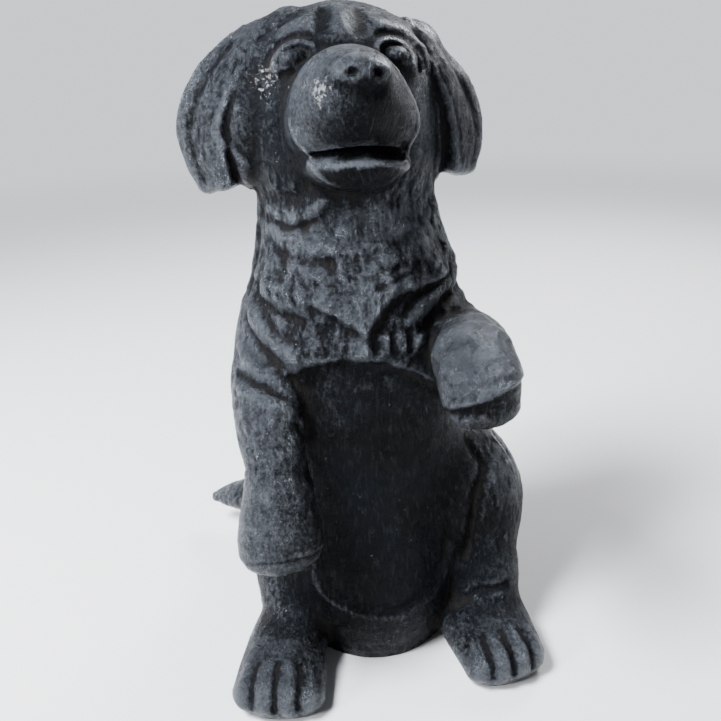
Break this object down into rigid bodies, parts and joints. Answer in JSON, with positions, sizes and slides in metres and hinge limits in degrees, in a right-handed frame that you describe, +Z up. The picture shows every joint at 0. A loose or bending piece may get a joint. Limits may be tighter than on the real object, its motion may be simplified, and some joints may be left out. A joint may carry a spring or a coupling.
{
  "type": "dog statue",
  "caption": "Floppy-eared puppy statue sitting up to beg with a forepaw raised, cast in dark aluminium, to stand on a floor, step or garden path.",
  "frame": {"origin": "on the ground, in the flat underside of the seated body", "axes": "+Z up, -Y towards the dog's front, +X towards the dog's own left"},
  "size_m": [0.2726, 0.2526, 0.46],
  "materials": {
    "dark_cast_aluminium": "dark patinated casting, semi-gloss, rubbed paler on raised parts"
  },
  "bodies": {
    "root": {"dog_statue": "dark_cast_aluminium"}
  },
  "joints": []
}
